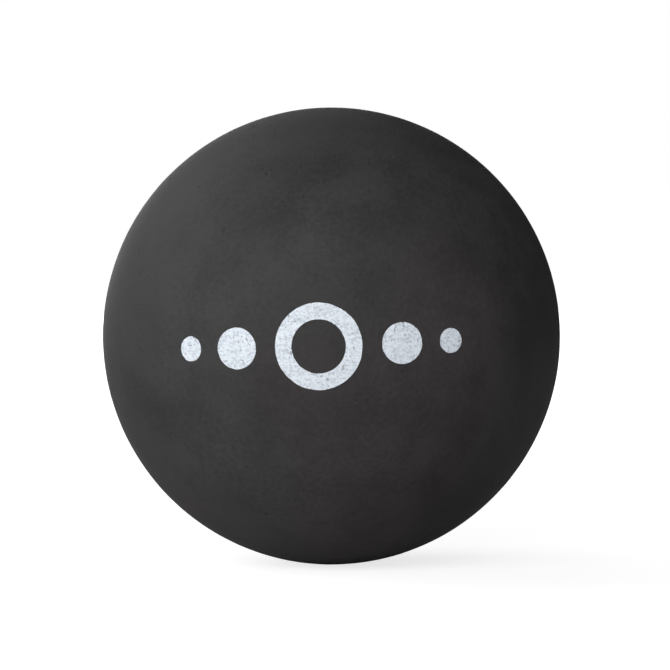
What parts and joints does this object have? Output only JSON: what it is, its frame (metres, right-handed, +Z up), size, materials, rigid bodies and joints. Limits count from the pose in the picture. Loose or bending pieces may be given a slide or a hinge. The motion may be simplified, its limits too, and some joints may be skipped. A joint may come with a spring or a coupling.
{
  "type": "paddleball ball",
  "caption": "Hollow matte black rubber court ball of cemented half shells, with a pin-hole vent and a plain white printed mark, for playing paddleball against a wall.",
  "frame": {"origin": "centre of the ball", "axes": "+Z up as in the picture; +Y runs from the printed front to the vented rear, along the axis through the poles of both half shells and square to the cemented joint; +X to the right of the mark as seen from the front"},
  "size_m": [0.0572, 0.0572, 0.0572],
  "materials": {
    "black_rubber": "ground matte black rubber",
    "rubber_cement": "cured rubber cement, matte dark brown-grey",
    "white_ink": "thin printed ink film, matte cool white with fine specks"
  },
  "bodies": {
    "root": {"front_half_shell": "black_rubber", "rear_half_shell": "black_rubber", "bond_ring": "rubber_cement", "printed_mark": "white_ink"}
  },
  "joints": []
}
